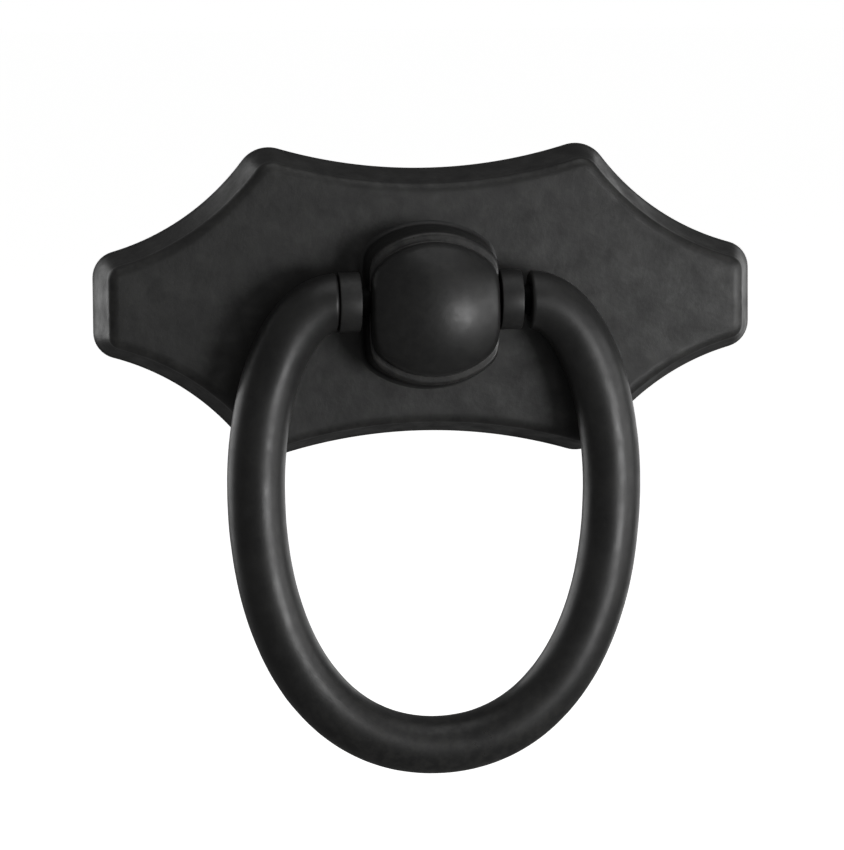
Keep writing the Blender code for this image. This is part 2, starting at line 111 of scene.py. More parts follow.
# Fixings
STUD_SEAT = 5.8 * MM
NUT_HEX_HEIGHT = 5.0 * MM
NUT_DOME_RADIUS = 3.75 * MM
NUT_BORE_DEPTH = 7.6 * MM
NUT_FACE_INSET = 0.1 * MM
SCREW_RADIUS = 3.0 * MM
SCREW_HEAD_RADIUS = 6.0 * MM
SCREW_HEAD_RIM = 0.4 * MM
SCREW_LENGTH = 10.0 * MM
SCREW_SET_BACK = 0.4 * MM
SOCKET_ACROSS_FLATS = 4.0 * MM
SOCKET_DEPTH = 1.9 * MM
STUD_PITCH = 0.8 * MM
SCREW_PITCH = 1.0 * MM
THREAD_DEPTH = 0.6134  # of the pitch
# Along one pitch and down the depth, as shares of each
THREAD_PROFILE = ((0.0, 0.0), (0.125, 0.0), (0.4375, 1.0), (0.6875, 1.0))
STUD_CHAMFER = 0.6 * MM
SCREW_CHAMFER = 0.5 * MM
SCREW_HEAD_EDGE = 0.15 * MM
PIN_EDGE = 0.4 * MM
WASHER_EDGE = 0.18 * MM
NUT_EDGE = 0.08 * MM
NUT_CORNER_ANGLE = math.radians(30)
NUT_SHARP_ANGLE = 24  # degrees

GAP = 0.3 * MM
RUNNING = 0.1 * MM
OVERRUN = 1.0 * MM  # of a cutter past what it cuts

# Steps along each rounding or surface: they set the meshes' fineness only
TOP_ARC_STEPS = 24
TIP_ARC_STEPS = 12
END_ARC_STEPS = 8
END_STEPS = 5
RECESS_STEPS = 26
RECESS_WALL_STEPS = 6
SKIRT_STEPS = 12
BEVEL_STEPS = 12
FACE_STEPS = 46
FOOT_STEPS = 7
PEDESTAL_STEPS = 10
PEDESTAL_ROUND_STEPS = 8
HEAD_FILLET_STEPS = 6
HEAD_STEPS = 48
PIN_STEPS = 10
BORE_SIDES = 64
TURNED_SIDES = 120

# Finishes
RUBBED_COLOUR = (0.070, 0.068, 0.064)
DUST_COLOUR = (0.20, 0.20, 0.19)
DUST_APART = 9 * MM
SKIN_SIZE = 1.5 * MM
GRAIN_SIZE = 0.28 * MM
GRAIN_DEPTH = 0.004 * MM
SPOT_SHARE = 0.34  # of a blotch's size
COLLAR_WEAR = 0.2

# Studio
CAMERA_DIRECTION = (-7.273, 4.883, -0.42)  # degrees: azimuth, elevation and roll
CAMERA_TARGET = (-0.26 * MM, 0.0, -21.51 * MM)
CAMERA_DISTANCE = 0.9
CAMERA_LENS = 224.2
LIGHT_TARGET_Z = -20 * MM
WORLD_FILL = 0.11
FLOOR_Z = -0.16
FLOOR_RADIUS = 6.0
FLOOR_GLOW = 0.9

ALONG_X = Matrix.Rotation(math.radians(90), 4, "Y")
INTO_DOOR = Matrix.Rotation(math.radians(-90), 4, "X")

# What the frame gives
plate_low, plate_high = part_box("backplate")
ring_low, ring_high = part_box("knocker_ring")
pin_low, pin_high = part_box("pivot_pin")
stud_low, stud_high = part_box("stud_right")
washer_low, washer_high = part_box("washer_right")
nut_low, nut_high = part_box("dome_nut_right")
PLATE_THICKNESS = -plate_low.y
FACE_HALF_WIDTH = plate_high.x - BEVEL_WIDTH - SKIRT_FLARE
PIVOT = Vector(frame["joints"][0]["pos_m"])
PIN_RADIUS = (pin_high.z - pin_low.z) / 2
BAR_RADIUS = (ring_high.y - ring_low.y) / 2
RING_END_X = pin_high.x - RING_SOCKET_DEPTH + GAP
RING_BOTTOM_DROP = PIVOT.z - ring_low.z - BAR_RADIUS
STUD_X = (stud_low.x + stud_high.x) / 2
STUD_RADIUS = (stud_high.z - stud_low.z) / 2
WASHER_RADIUS = (washer_high.z - washer_low.z) / 2
WASHER_THICKNESS = washer_high.y - washer_low.y
NUT_ACROSS_FLATS = min(nut_high.x - nut_low.x, nut_high.z - nut_low.z)
NUT_HEIGHT = nut_high.y - nut_low.y


# Mesh helpers


def finished(name, bm):
    bmesh.ops.recalc_face_normals(bm, faces=bm.faces)
    mesh = bpy.data.meshes.new(name)
    bm.to_mesh(mesh)
    bm.free()
    return mesh


def loft(name, loops, closed=False):
    """A skin through loops of equally many points, capped at both ends or, if closed, joined end to start."""
    bm = bmesh.new()
    rings = [[bm.verts.new(point) for point in loop] for loop in loops]
    pairs = list(zip(rings, rings[1:]))
    if closed:
        pairs.append((rings[-1], rings[0]))
    for low, high in pairs:
        for i in range(len(low)):
            j = (i + 1) % len(low)
            bm.faces.new((low[i], low[j], high[j], high[i]))
    if not closed:
        bm.faces.new(rings[0])
        bm.faces.new(rings[-1])
    return finished(name, bm)


def circle(radius, height, sides):
    turn = 2 * math.pi / sides
    return [(radius * math.cos(i * turn), radius * math.sin(i * turn), height) for i in range(sides)]


def turned(name, profile, sides=96, closed=False):
    """A solid turned about its local Z from (radius, height) points."""
    return loft(name, [circle(radius, height, sides) for radius, height in profile], closed)


def quarter(centre, radius, start, steps, turn=1):
    """(radius, height) points round a quarter turn, which starts at so many quarters."""
    points = []
    for i in range(steps + 1):
        angle = math.pi / 2 * (start + turn * i / steps)
        points.append((centre[0] + radius * math.cos(angle), centre[1] + radius * math.sin(angle)))
    return points


def rounded_tube(name, outer, bore, length, edge, steps=4):
    """A round collar from Z = 0 to its length, all four edges rounded."""
    profile = quarter((bore + edge, edge), edge, 2, steps)
    profile += quarter((outer - edge, edge), edge, 3, steps)
    profile += quarter((outer - edge, length - edge), edge, 0, steps)
    profile += quarter((bore + edge, length - edge), edge, 1, steps)
    return turned(name, profile, closed=True)


def prism(name, outline, low, high):
    return loft(name, [[(x, y, z) for x, z in outline] for y in (low, high)])


def hexagon_bar(name, across_flats, low, high):
    corner = across_flats / 2 / math.cos(math.pi / 6)
    return loft(name, [circle(corner, low, 6), circle(corner, high, 6)])


def arc(centre, radius, start, end, steps):
    points = []
    for i in range(steps + 1):
        angle = start + (end - start) * i / steps
        points.append(Vector((centre[0] + radius * math.cos(angle), centre[1] + radius * math.sin(angle))))
    return points


def direction(start, end):
    return math.atan2(end[1] - start[1], end[0] - start[0])


def boolean(mesh, other, operation):
    """The mesh with another cut from it, joined to it or crossed with it."""
    objects = [bpy.data.objects.new("shape", mesh), bpy.data.objects.new("tool", other)]
    for obj in objects:
        bpy.context.scene.collection.objects.link(obj)
    modifier = objects[0].modifiers.new("boolean", "BOOLEAN")
    modifier.operation = operation
    modifier.object = objects[1]
    modifier.solver = "EXACT"
    made = bpy.data.meshes.new_from_object(objects[0].evaluated_get(bpy.context.evaluated_depsgraph_get()))
    made.name = mesh.name
    for obj in objects:
        bpy.data.objects.remove(obj)
    return made


def moved(mesh, place, turn=None):
    mesh = mesh.copy()
    mesh.transform(Matrix.Translation(place) @ (turn or Matrix.Identity(4)))
    return mesh


def set_attribute(mesh, name, value_at):
    """A number at each point of the mesh, for its material to read."""
    attribute = mesh.attributes.new(name, "FLOAT", "POINT")
    attribute.data.foreach_set("value", [value_at(vertex.co) for vertex in mesh.vertices])


def roughen(mesh, amount, size, strength_at=lambda co: 1.0):
    """Moves the surface in and out, as a casting's skin is never quite even."""
    normals = [vertex.normal.copy() for vertex in mesh.vertices]
    for vertex, normal in zip(mesh.vertices, normals):
        height = noise.fractal(vertex.co / size, 0.9, 2.1, 4)
        vertex.co += normal * (amount * height * strength_at(vertex.co))


def piece(name, mesh, material, body, slot, *nodes, sharp=32):
    """A finished piece that rides on a body and stands for its CAD nodes."""
    mesh.shade_smooth()
    mesh.set_sharp_from_angle(angle=math.radians(sharp))
    mesh.materials.clear()
    mesh.materials.append(material)
    obj = bpy.data.objects.new(name, mesh)
    bpy.context.scene.collection.objects.link(obj)
    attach(obj, body)
    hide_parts(*nodes)
    return obj


def smoothstep(low, high, value):
    share = min(1.0, max(0.0, (value - low) / (high - low)))
    return share * share * (3 - 2 * share)


# Materials


class Tree:
    """Adds nodes to a new material and links them."""

    def __init__(self, name, colour, roughness, metallic=0.0):
        self.material = bpy.data.materials.new(name)
        self.material.use_nodes = True
        self.nodes = self.material.node_tree.nodes
        self.links = self.material.node_tree.links
        self.shader = self.nodes["Principled BSDF"]
        self.shader.inputs["Base Color"].default_value = (*colour, 1.0)
        self.shader.inputs["Roughness"].default_value = roughness
        self.shader.inputs["Metallic"].default_value = metallic
        self.material.diffuse_color = (*colour, 1.0)
        self.place = self.nodes.new("ShaderNodeTexCoord").outputs["Object"]

    def link(self, source, target):
        self.links.new(source, target)

    def noise(self, size, detail=3.0, roughness=0.55, distortion=0.0):
        """Noise whose features are about this size in metres."""
        node = self.nodes.new("ShaderNodeTexNoise")
        node.inputs["Scale"].default_value = 1 / size
        node.inputs["Detail"].default_value = detail
        node.inputs["Roughness"].default_value = roughness
        node.inputs["Distortion"].default_value = distortion
        self.link(self.place, node.inputs["Vector"])
        return node.outputs["Fac"]

    def specks(self, size, share):
        """1 in sparse round specks, about this far apart, and 0 elsewhere."""
        node = self.nodes.new("ShaderNodeTexVoronoi")
        node.inputs["Scale"].default_value = 1 / size
        self.link(self.place, node.inputs["Vector"])
        return self.ranged(node.outputs["Distance"], share, share * 0.5, 0.0, 1.0)

    def ranged(self, source, low, high, to_low, to_high):
        node = self.nodes.new("ShaderNodeMapRange")
        for socket, value in zip(("From Min", "From Max", "To Min", "To Max"), (low, high, to_low, to_high)):
            node.inputs[socket].default_value = value
        self.link(source, node.inputs["Value"])
        return node.outputs["Result"]

    def math(self, operation, first, second):
        node = self.nodes.new("ShaderNodeMath")
        node.operation = operation
        for socket, value in zip(node.inputs, (first, second)):
            if isinstance(value, (int, float)):
                socket.default_value = value
            else:
                self.link(value, socket)
        return node.outputs["Value"]

    def attribute(self, name):
        node = self.nodes.new("ShaderNodeAttribute")
        node.attribute_name = name
        return node.outputs["Fac"]

    def mixed(self, factor, first, second):
        """A colour between two, each a socket or three numbers."""
        node = self.nodes.new("ShaderNodeMix")
        node.data_type = "RGBA"
        self.link(factor, node.inputs["Factor"])
        for socket, value in zip((node.inputs[6], node.inputs[7]), (first, second)):
            if isinstance(value, tuple):
                socket.default_value = (*value, 1.0)
            else:
                self.link(value, socket)
        return node.outputs[2]

    def bump(self, height, distance, strength=1.0, under=None):
        node = self.nodes.new("ShaderNodeBump")
        node.inputs["Distance"].default_value = distance
        node.inputs["Strength"].default_value = strength
        self.link(height, node.inputs["Height"])
        if under:
            self.link(under, node.inputs["Normal"])
        return node.outputs["Normal"]

    def set(self, socket, source):
        self.link(source, self.shader.inputs[socket])


def coated_iron(name, dark, light, rough, blotch, peel, mottle):
    """Satin black coating on a casting: blotches so wide, a skin so deep, and mottled, dusty and rubbed."""
    tree = Tree(name, light, rough)
    blotches = tree.noise(blotch, 5.0, 0.6, 0.6)
    spots = tree.noise(SPOT_SHARE * blotch, 3.0, 0.5, 0.25)
    skin = tree.noise(SKIN_SIZE, 4.0, 0.6)
    grain = tree.noise(GRAIN_SIZE, 2.0, 0.6)
    wear = tree.attribute("wear")
    rubbed = tree.math("MULTIPLY", wear, tree.ranged(skin, 0.42, 0.62, 0.0, 1.0))
    colour = tree.mixed(tree.ranged(blotches, 0.36, 0.64, 0.0, 1.0), dark, light)
    dull = tree.math("MULTIPLY", tree.ranged(spots, 0.50, 0.68, 0.0, 1.0), mottle)
    colour = tree.mixed(dull, colour, tuple(0.45 * value for value in dark))
    pale = tree.math("MULTIPLY", tree.ranged(spots, 0.46, 0.30, 0.0, 1.0), mottle)
    colour = tree.mixed(pale, colour, tuple(1.6 * value for value in light))
    colour = tree.mixed(tree.math("MULTIPLY", rubbed, 0.35), colour, RUBBED_COLOUR)
    dust = tree.math("MULTIPLY", tree.specks(DUST_APART, 0.035), tree.ranged(skin, 0.5, 0.6, 0.0, 1.0))
    colour = tree.mixed(tree.math("MULTIPLY", dust, 0.5), colour, DUST_COLOUR)
    tree.set("Base Color", colour)
    roughness = tree.ranged(blotches, 0.3, 0.7, rough - 0.06, rough + 0.06)
    roughness = tree.math("ADD", roughness, tree.ranged(spots, 0.3, 0.7, -0.14 * mottle, 0.14 * mottle))
    roughness = tree.math("ADD", roughness, tree.ranged(grain, 0.3, 0.7, -0.03, 0.03))
    tree.set("Roughness", tree.math("SUBTRACT", roughness, tree.math("MULTIPLY", rubbed, 0.08)))
    normal = tree.bump(blotches, 2 * peel)
    normal = tree.bump(skin, peel, under=normal)
    tree.set("Normal", tree.bump(grain, GRAIN_DEPTH, under=normal))
    return tree.material


def bright_steel(name, light, dark, rough):
    """Plated or blackened steel: cloudy, with small dull spots and a fine grain."""
    tree = Tree(name, light, rough, 1.0)
    cloud = tree.noise(2.6 * MM, 4.0, 0.6, 0.4)
    grain = tree.noise(0.16 * MM, 2.0)
    spots = tree.math("MULTIPLY", tree.specks(1.7 * MM, 0.22), tree.ranged(cloud, 0.5, 0.7, 0.0, 0.6))
    colour = tree.mixed(tree.ranged(cloud, 0.35, 0.65, 0.0, 1.0), dark, light)
    tree.set("Base Color", tree.mixed(spots, colour, tuple(0.45 * value for value in dark)))
    roughness = tree.ranged(cloud, 0.3, 0.7, rough - 0.07, rough + 0.09)
    tree.set("Roughness", tree.math("ADD", roughness, tree.math("MULTIPLY", spots, 0.2)))
    tree.set("Normal", tree.bump(grain, 0.003 * MM))
    return tree.material


# Backplate


def arc_crossing(centre_a, radius_a, centre_b, radius_b):
    """Where two circles cross, on the side nearest the X axis."""
    apart = (centre_b - centre_a).length
    along = (radius_a**2 - radius_b**2 + apart**2) / (2 * apart)
    across = math.sqrt(radius_a**2 - along**2)
    unit = (centre_b - centre_a) / apart
    foot = centre_a + unit * along
    normal = Vector((-unit.y, unit.x))
    return min((foot + normal * across, foot - normal * across), key=lambda point: point.y)


def plate_quarter(offset):
    """The face's outline moved out by the offset, from the top middle round to the right end's middle."""
    top_radius = (TIP_X**2 + TOP_SAGITTA**2) / (2 * TOP_SAGITTA)
    top = Vector((0.0, TIP_Z - TOP_SAGITTA + top_radius))
    tip = Vector((TIP_X, TIP_Z))
    end = Vector((FACE_HALF_WIDTH, END_HALF_HEIGHT))
    chord = end - tip
    side_radius = ((chord.length / 2) ** 2 + SIDE_SAGITTA**2) / (2 * SIDE_SAGITTA)
    outward = Vector((-chord.y, chord.x)).normalized()
    side = (tip + end) / 2 + outward * (side_radius - SIDE_SAGITTA)
    tip_round = arc_crossing(top, top_radius + TIP_FILLET, side, side_radius + TIP_FILLET)
    end_x = FACE_HALF_WIDTH - END_FILLET
    reach = side_radius + END_FILLET
    end_round = Vector((end_x, side.y - math.sqrt(reach**2 - (end_x - side.x) ** 2)))
    to_tip = direction(top, tip_round)
    to_side = direction(tip_round, side)
    points = arc(top, top_radius - offset, -math.pi / 2, to_tip, TOP_ARC_STEPS)
    points += arc(tip_round, TIP_FILLET + offset, to_tip + math.pi, to_side, TIP_ARC_STEPS)[1:]
    from_tip, to_end = direction(side, tip_round), direction(side, end_round)
    points += arc(side, side_radius - offset, from_tip, to_end, TOP_ARC_STEPS)[1:]
    points += arc(end_round, END_FILLET + offset, direction(end_round, side), 0.0, END_ARC_STEPS)[1:]
    for step in range(1, END_STEPS + 1):
        points.append(Vector((FACE_HALF_WIDTH + offset, end_round.y * (1 - step / END_STEPS))))
    return points


def plate_loop(offset, out, scale=1.0):
    quarter_points = plate_quarter(offset)
    right = quarter_points + [Vector((x, -z)) for x, z in reversed(quarter_points[:-1])]
    outline = right + [Vector((-x, z)) for x, z in reversed(right[1:-1])]
    return [(scale * x, -out, scale * z) for x, z in outline]


def plate_skin():
    """From the middle of the recess over rim, skirt and bevel to the middle of the face."""
    skirt = BEVEL_WIDTH + SKIRT_FLARE
    inner = skirt - RIM_WIDTH
    floor = inner - RECESS_DRAFT
    middle = floor - RECESS_FILLET
    loops = [plate_loop(middle, RECESS_DEPTH, i / RECESS_STEPS) for i in range(1, RECESS_STEPS)]
    for offset, up in quarter((floor - RECESS_FILLET, RECESS_FILLET), RECESS_FILLET, 3, 5):
        loops.append(plate_loop(offset, RECESS_DEPTH - up))
    for i in range(1, RECESS_WALL_STEPS):
        share = i / RECESS_WALL_STEPS
        out = (RECESS_DEPTH - RECESS_FILLET) * (1 - share)
        loops.append(plate_loop(floor + RECESS_DRAFT * share, out))
    for offset, up in quarter((inner + RIM_EDGE, -RIM_EDGE), RIM_EDGE, 2, 4, -1):
        loops.append(plate_loop(offset, -up))
    for offset, up in quarter((skirt - RIM_EDGE, -RIM_EDGE), RIM_EDGE, 1, 4, -1):
        loops.append(plate_loop(offset, -up))
    bevel_foot = PLATE_THICKNESS - BEVEL_DEPTH
    for i in range(1, SKIRT_STEPS):
        share = i / SKIRT_STEPS
        out = RIM_EDGE + (bevel_foot - RIM_EDGE) * share
        loops.append(plate_loop(skirt - SKIRT_FLARE * out / bevel_foot, out))
    for i in range(BEVEL_STEPS + 1):
        angle = math.pi / 2 * i / BEVEL_STEPS
        out = PLATE_THICKNESS - BEVEL_DEPTH * (1 - math.sin(angle))
        loops.append(plate_loop(BEVEL_WIDTH * math.cos(angle), out))
    loops += [plate_loop(0.0, PLATE_THICKNESS, 1 - i / FACE_STEPS) for i in range(1, FACE_STEPS)]
    return loft("plate_casting", loops)


def boss(radius):
    """A boss that rises from the recess's floor to the rim's level, along local -Z from the door."""
    height = RECESS_DEPTH
    fillet_centre = (radius + BOSS_FILLET, -height + BOSS_FILLET)
    profile = [(radius + BOSS_FILLET, -height - OVERRUN)]
    profile += quarter(fillet_centre, BOSS_FILLET, 3, 6, -1)
    profile += quarter((radius - BOSS_EDGE, -BOSS_EDGE), BOSS_EDGE, 0, 4)
    return turned("boss", profile)


def off_the_rim(co):
    """0 on the rim that lies on the door, 1 from just above it."""
    return smoothstep(0.4 * MM, 1.2 * MM, -co.y)


def plate_mesh():
    mesh = plate_skin()
    roughen(mesh, 0.035 * MM, 7 * MM, off_the_rim)
    roughen(mesh, 0.012 * MM, 1.8 * MM, off_the_rim)
    mesh = boolean(mesh, moved(boss(CENTRE_BOSS_RADIUS), (0, 0, POST_CENTRE_Z), INTO_DOOR), "UNION")
    for side in (-1, 1):
        mesh = boolean(mesh, moved(boss(STUD_BOSS_RADIUS), (side * STUD_X, 0, 0), INTO_DOOR), "UNION")
        hole = [
            (STUD_RADIUS + RUNNING, -STUD_SEAT),
            (STUD_RADIUS + RUNNING, -2 * GAP),
            (STUD_RADIUS + RUNNING + 2 * GAP + OVERRUN, OVERRUN),
        ]
        mesh = boolean(mesh, moved(turned("hole", hole), (side * STUD_X, 0, 0), INTO_DOOR), "DIFFERENCE")
    outline = rounded_box(SPIGOT_HALF_WIDTH + GAP, SPIGOT_HALF_HEIGHT + GAP, SPIGOT_CORNER + GAP)
    pocket_floor = PLATE_THICKNESS - SPIGOT_LENGTH - GAP
    pocket = prism("pocket", outline, -PLATE_THICKNESS - OVERRUN, -pocket_floor)
    mesh = boolean(mesh, moved(pocket, (0, 0, POST_CENTRE_Z)), "DIFFERENCE")
    head = SCREW_HEAD_RADIUS + GAP
    rim = -SCREW_SET_BACK - SCREW_HEAD_RIM
    seat = [
        (SCREW_RADIUS + GAP, -PLATE_THICKNESS),
        (SCREW_RADIUS + GAP, rim - SCREW_HEAD_RADIUS + SCREW_RADIUS),
        (head, rim),
        (head, OVERRUN),
    ]
    return boolean(mesh, moved(turned("seat", seat), (0, 0, POST_CENTRE_Z), INTO_DOOR), "DIFFERENCE")


def rounded_box(half_width, half_height, corner, steps=6):
    points = []
    for quadrant, (sx, sz) in enumerate(((1, 1), (-1, 1), (-1, -1), (1, -1))):
        centre = (sx * (half_width - corner), sz * (half_height - corner))
        start = quadrant * math.pi / 2
        points += arc(centre, corner, start, start + math.pi / 2, steps)
    return points


def plate_wear(co):
    """Most on the bevel, where hands and the ring rub."""
    bevel = smoothstep(PLATE_THICKNESS - BEVEL_DEPTH, PLATE_THICKNESS - 0.3 * BEVEL_DEPTH, -co.y)
    face = smoothstep(PLATE_THICKNESS - 0.2 * MM, PLATE_THICKNESS - 0.05 * MM, -co.y)
    return 0.6 * bevel * (1 - 0.85 * face)


def make_plate(material):
    mesh = plate_mesh()
    set_attribute(mesh, "wear", plate_wear)
    return piece("plate_casting", mesh, material, "mounting", "plate_iron", "backplate")


# Post


def post_loop(flat, half_height, arc_radius, out_at, scale=1.0, sides=160):
    """One level of the post: flats left and right, arcs above and below, and blended corners."""
    round_radius = (flat + half_height) / 2
    drop = arc_radius - half_height
    loop = []
    for i in range(sides):
        angle = 2 * math.pi * i / sides
        across = abs(math.cos(angle))
        up = abs(math.sin(angle))
        to_flat = across / flat
        to_arc = 1 / (math.sqrt(arc_radius**2 - (drop * across) ** 2) - drop * up)
        blended = (to_flat**CORNER_SHARPNESS + to_arc**CORNER_SHARPNESS) ** (1 / CORNER_SHARPNESS)
        share = scale**2
        radius = scale * (share / blended + (1 - share) * round_radius)
        loop.append((radius * math.cos(angle), -out_at(radius), radius * math.sin(angle) + POST_CENTRE_Z))
    return loop


def head_out(scale, radius):
    """The head's front: a cap of a ball with a rounded edge."""
    edge = max(0.0, (scale - HEAD_ROUND_FROM) / (1 - HEAD_ROUND_FROM))
    cap = BALL_OUT + math.sqrt(BALL_RADIUS**2 - radius**2)
    return cap - HEAD_ROUND * (1 - math.sqrt(1 - edge**2))


def post_skin():
    """Foot, pedestal, shoulder and domed head in one skin, from the plate outwards."""

    def pedestal_loop(out, flat_inset, arc_inset):
        arcs = (POST_HALF_HEIGHT - arc_inset, POST_ARC_RADIUS - arc_inset)
        return post_loop(POST_FLAT_X - flat_inset, *arcs, lambda _: out)

    def head_loop(out_at, scale=1.0, grown=0.0):
        arcs = (HEAD_HALF_HEIGHT + grown, HEAD_ARC_RADIUS + grown)
        return post_loop(POST_FLAT_X - HEAD_INSET, *arcs, out_at, scale)

    top = PEDESTAL_TOP - PEDESTAL_ROUND
    loops = []
    for i in range(1, FOOT_STEPS + 1):
        angle = math.pi / 2 * i / FOOT_STEPS
        flare = FOOT_FILLET * (1 - math.sin(angle))
        out = PLATE_THICKNESS + FOOT_FILLET * (1 - math.cos(angle))
        loops.append(pedestal_loop(out, -flare, -flare - POST_DRAFT))
    for i in range(1, PEDESTAL_STEPS):
        share = i / PEDESTAL_STEPS
        out = PLATE_THICKNESS + FOOT_FILLET + (top - PLATE_THICKNESS - FOOT_FILLET) * share
        loops.append(pedestal_loop(out, 0.0, POST_DRAFT * (share - 1)))
    for i in range(PEDESTAL_ROUND_STEPS + 1):
        angle = math.pi / 2 * i / PEDESTAL_ROUND_STEPS
        turned_in = 1 - math.cos(angle)
        out = PEDESTAL_TOP - PEDESTAL_ROUND * (1 - math.sin(angle))
        loops.append(pedestal_loop(out, PEDESTAL_INSET * turned_in, PEDESTAL_ROUND * turned_in))
    for i in range(HEAD_FILLET_STEPS + 1):
        angle = math.pi / 2 * i / HEAD_FILLET_STEPS
        out = PEDESTAL_TOP + HEAD_FILLET * (1 - math.cos(angle))
        loops.append(head_loop(lambda _, out=out: out, grown=HEAD_FILLET * (1 - math.sin(angle))))
    for i in range(HEAD_STEPS):
        scale = math.cos(math.pi / 2 * i / HEAD_STEPS)
        loops.append(head_loop(lambda radius, scale=scale: head_out(scale, radius), scale))
    return loft("post_casting", loops)


def post_wear(co):
    """Most on the shoulder, some on the head and none on the pedestal's sides."""
    shoulder = smoothstep(PEDESTAL_TOP - PEDESTAL_ROUND, PEDESTAL_TOP - 0.1 * MM, -co.y)
    head = smoothstep(PEDESTAL_TOP + 0.1 * MM, PEDESTAL_TOP + HEAD_FILLET, -co.y)
    return shoulder * (1.0 - 0.8 * head)


def make_post(material):
    mesh = post_skin()
    roughen(mesh, 0.02 * MM, 5 * MM, lambda co: smoothstep(8 * MM, 9 * MM, -co.y))
    outline = rounded_box(SPIGOT_HALF_WIDTH, SPIGOT_HALF_HEIGHT, SPIGOT_CORNER)
    spigot = prism("spigot", outline, -PLATE_THICKNESS - 2 * OVERRUN, -PLATE_THICKNESS + SPIGOT_LENGTH)
    mesh = boolean(mesh, moved(spigot, (0, 0, POST_CENTRE_Z)), "UNION")
    reach = POST_FLAT_X + FOOT_FILLET + OVERRUN
    bore = turned("bore", [(PIN_RADIUS + RUNNING, -reach), (PIN_RADIUS + RUNNING, reach)], BORE_SIDES)
    mesh = boolean(mesh, moved(bore, PIVOT, ALONG_X), "DIFFERENCE")
    deepest = SCREW_SET_BACK + SCREW_LENGTH + GAP
    hole = turned("hole", [(SCREW_RADIUS + RUNNING, -deepest), (SCREW_RADIUS + RUNNING, OVERRUN)], BORE_SIDES)
    mesh = boolean(mesh, moved(hole, (0, 0, POST_CENTRE_Z), INTO_DOOR), "DIFFERENCE")
    set_attribute(mesh, "wear", post_wear)
    return piece("post_casting", mesh, material, "mounting", "post_iron", "ring_post")


# Pivot and ring


def make_collars(material):
    for side in ("left", "right"):
        low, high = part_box(f"pivot_collar_{side}")
        radius = (high.z - low.z) / 2
        name = f"collar_{side}"
        length = high.x - low.x + 2 * COLLAR_FILL
        mesh = rounded_tube(name, radius, PIN_RADIUS + RUNNING, length, COLLAR_EDGE)
        mesh = moved(mesh, (low.x - COLLAR_FILL, PIVOT.y, PIVOT.z), ALONG_X)
        roughen(mesh, 0.02 * MM, 2 * MM)
        set_attribute(mesh, "wear", lambda co: COLLAR_WEAR)
        piece(name, mesh, material, "mounting", "collar_iron", f"pivot_collar_{side}", sharp=60)


def make_pin(material):
    half = (pin_high.x - pin_low.x) / 2
    profile = quarter((PIN_RADIUS - PIN_EDGE, PIN_EDGE - half), PIN_EDGE, 3, 5)
    profile += [(PIN_RADIUS, -half * i / PIN_STEPS) for i in range(PIN_STEPS - 1, -PIN_STEPS, -1)]
    profile += quarter((PIN_RADIUS - PIN_EDGE, half - PIN_EDGE), PIN_EDGE, 0, 5)
    mesh = moved(turned("pin", profile, BORE_SIDES), PIVOT, ALONG_X)
    return piece("pin", mesh, material, "knocker", "pin_steel", "pivot_pin", sharp=60)


def bezier(points, t):
    """A point on a cubic curve and the curve's direction there."""
    a, b, c, d = points
    s = 1 - t
    place = a * s**3 + b * (3 * s * s * t) + c * (3 * s * t * t) + d * t**3
    slope = (b - a) * (s * s) + (c - b) * (2 * s * t) + (d - c) * (t * t)
    return place, slope.normalized()


def ring_half(shoulder_steps=64, lower_steps=96):
    """Points and directions (x, z) down the right-hand half of the ring's centreline."""
    end = Vector((RING_END_X, 0.0))
    widest = Vector((RING_HALF_WIDTH, -RING_WIDEST_DROP))
    bottom = Vector((0.0, -RING_BOTTOM_DROP))
    out, up = SHOULDER_HANDLES
    down, along = BOTTOM_HANDLES
    shoulder = (end, end + Vector((out, 0)), widest + Vector((0, up)), widest)
    lower = (widest, widest - Vector((0, down)), bottom + Vector((along, 0)), bottom)
    stations = [bezier(shoulder, i / shoulder_steps) for i in range(shoulder_steps)]
    stations += [bezier(lower, i / lower_steps) for i in range(lower_steps + 1)]
    return stations


def bar_loop(place, heading, radius, sides=56):
    """A round section of the bar, square to its heading."""
    across = Vector((-heading.y, 0.0, heading.x))
    centre = PIVOT + Vector((place.x, 0.0, place.y))
    loop = []
    for i in range(sides):
        angle = 2 * math.pi * i / sides
        loop.append(centre + across * (radius * math.cos(angle)) + Vector((0, radius * math.sin(angle), 0)))
    return loop


def ring_end(place, heading):
    """Sections from the bottom of the socket over the rounded end face to the bar."""
    socket = PIN_RADIUS + RUNNING
    loops = [bar_loop(place + heading * RING_SOCKET_DEPTH, heading, socket)]
    loops.append(bar_loop(place + heading * GAP, heading, socket))
    loops.append(bar_loop(place, heading, socket + GAP))
    for radius, along in quarter((BAR_RADIUS - RING_END_ROUND, RING_END_ROUND), RING_END_ROUND, 3, 6):
        loops.append(bar_loop(place + heading * along, heading, radius))
    return loops


